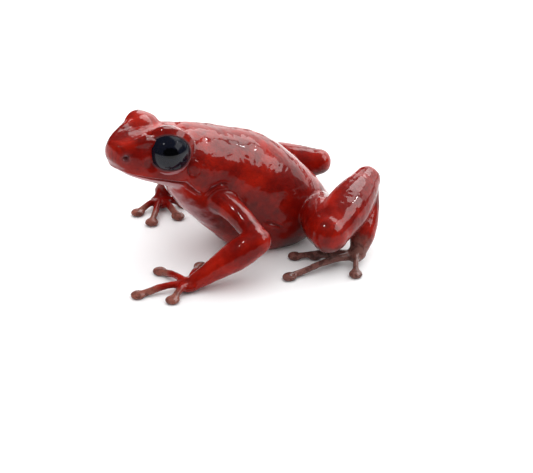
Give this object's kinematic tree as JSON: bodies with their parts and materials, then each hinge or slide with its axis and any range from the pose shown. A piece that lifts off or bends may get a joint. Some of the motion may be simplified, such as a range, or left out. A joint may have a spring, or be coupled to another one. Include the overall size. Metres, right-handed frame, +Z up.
{
  "type": "strawberry poison dart frog model",
  "caption": "Still, life-size model of a small glossy red poison dart frog sitting on its belly with its head raised, for display on a floor or shelf.",
  "frame": {"origin": "on the floor under the middle of the model's box", "axes": "-Y is the way the frog faces, +X is its own left, +Z is up; Y is the longest extent and Z the shortest"},
  "size_m": [0.02, 0.0221, 0.0121],
  "materials": {
    "red skin": "wet, glossy dark red skin with a faint dusky mottle",
    "toe skin": "moist grey-brown skin of the hands, feet and toe discs",
    "eye": "clear, wet, near-black eye"
  },
  "bodies": {
    "root": {"head": "red skin", "torso": "red skin", "eye_left": "eye", "eye_right": "eye", "upper_arm_left": "red skin", "forearm_left": "red skin", "hand_left": "toe skin", "thigh_left": "red skin", "shank_left": "red skin", "foot_left": "toe skin", "upper_arm_right": "red skin", "forearm_right": "red skin", "hand_right": "toe skin", "thigh_right": "red skin", "shank_right": "red skin", "foot_right": "toe skin"}
  },
  "joints": []
}
